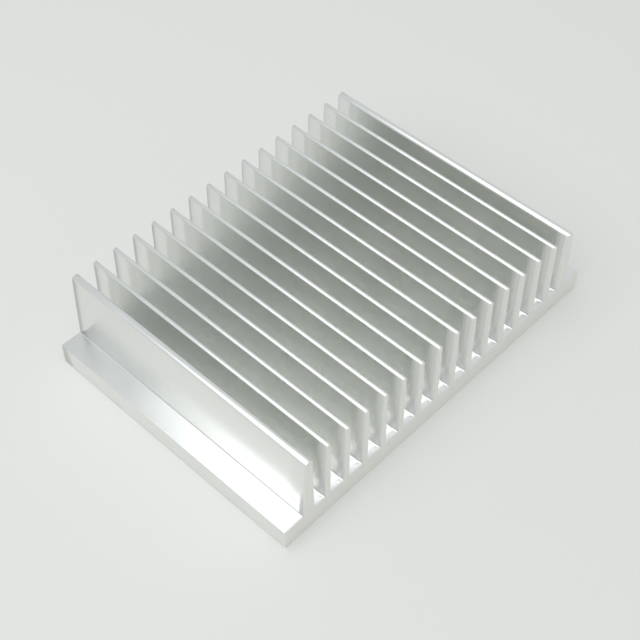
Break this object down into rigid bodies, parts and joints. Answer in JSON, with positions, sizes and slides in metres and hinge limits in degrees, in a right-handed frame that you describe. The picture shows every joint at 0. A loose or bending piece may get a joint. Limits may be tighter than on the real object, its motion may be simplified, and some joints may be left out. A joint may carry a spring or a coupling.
{
  "type": "extruded heat sink",
  "caption": "Flat-based extruded aluminium heat sink with straight upright fins and plain side flanges, cut to length from a bar.",
  "frame": {"origin": "middle of the flat mounting face, under the centre of the block", "axes": "+X runs across the fins, +Y runs along the fins (the way the bar was extruded), +Z points away from the mounting face to the fin tips"},
  "size_m": [0.21, 0.15, 0.05],
  "materials": {
    "raw_aluminium": "mill finish as extruded, ends saw cut"
  },
  "bodies": {
    "root": {"heatsink": "raw_aluminium"}
  },
  "joints": []
}
